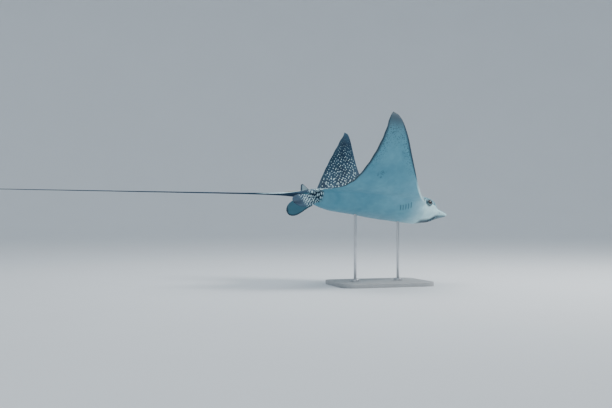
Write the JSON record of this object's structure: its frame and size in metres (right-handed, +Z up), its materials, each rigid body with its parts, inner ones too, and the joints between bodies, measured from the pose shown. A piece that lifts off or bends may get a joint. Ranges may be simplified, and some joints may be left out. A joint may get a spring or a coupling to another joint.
{
  "type": "spotted eagle ray display model",
  "caption": "Life-size spotted eagle ray in mid-stroke with both wings raised and its long whip tail trailing, held by slim rods on a flat base.",
  "frame": {"origin": "centre of the underside of the stand's base, on the floor", "axes": "+X the way the ray swims, +Y to its left, +Z up"},
  "size_m": [3.109, 0.833, 0.98],
  "materials": {
    "skin_back": "smooth bare skin, slate blue with pale spots above and white below",
    "skin_dark": "smooth bare skin, near black",
    "eye": "gloss",
    "spine": "satin, horn-like",
    "stand_base": "satin paint",
    "stand_steel": "brushed"
  },
  "bodies": {
    "root": {"head": "skin_back", "trunk": "skin_back", "wing_left_inner": "skin_back", "wing_left_middle": "skin_back", "wing_left_outer": "skin_back", "wing_right_inner": "skin_back", "wing_right_middle": "skin_back", "wing_right_outer": "skin_back", "bill": "skin_back", "pelvic_fin_left": "skin_dark", "pelvic_fin_right": "skin_dark", "dorsal_fin": "skin_dark", "tail_root": "skin_dark", "tail_1": "skin_dark", "tail_2": "skin_dark", "tail_3": "skin_dark", "tail_4": "skin_dark", "eye_left": "eye", "eye_right": "eye", "tail_spine_left": "spine", "tail_spine_right": "spine", "stand_base": "stand_base", "stand_rod_front": "stand_steel", "stand_rod_rear": "stand_steel", "stand_collar_front": "stand_steel", "stand_collar_rear": "stand_steel"}
  },
  "joints": []
}
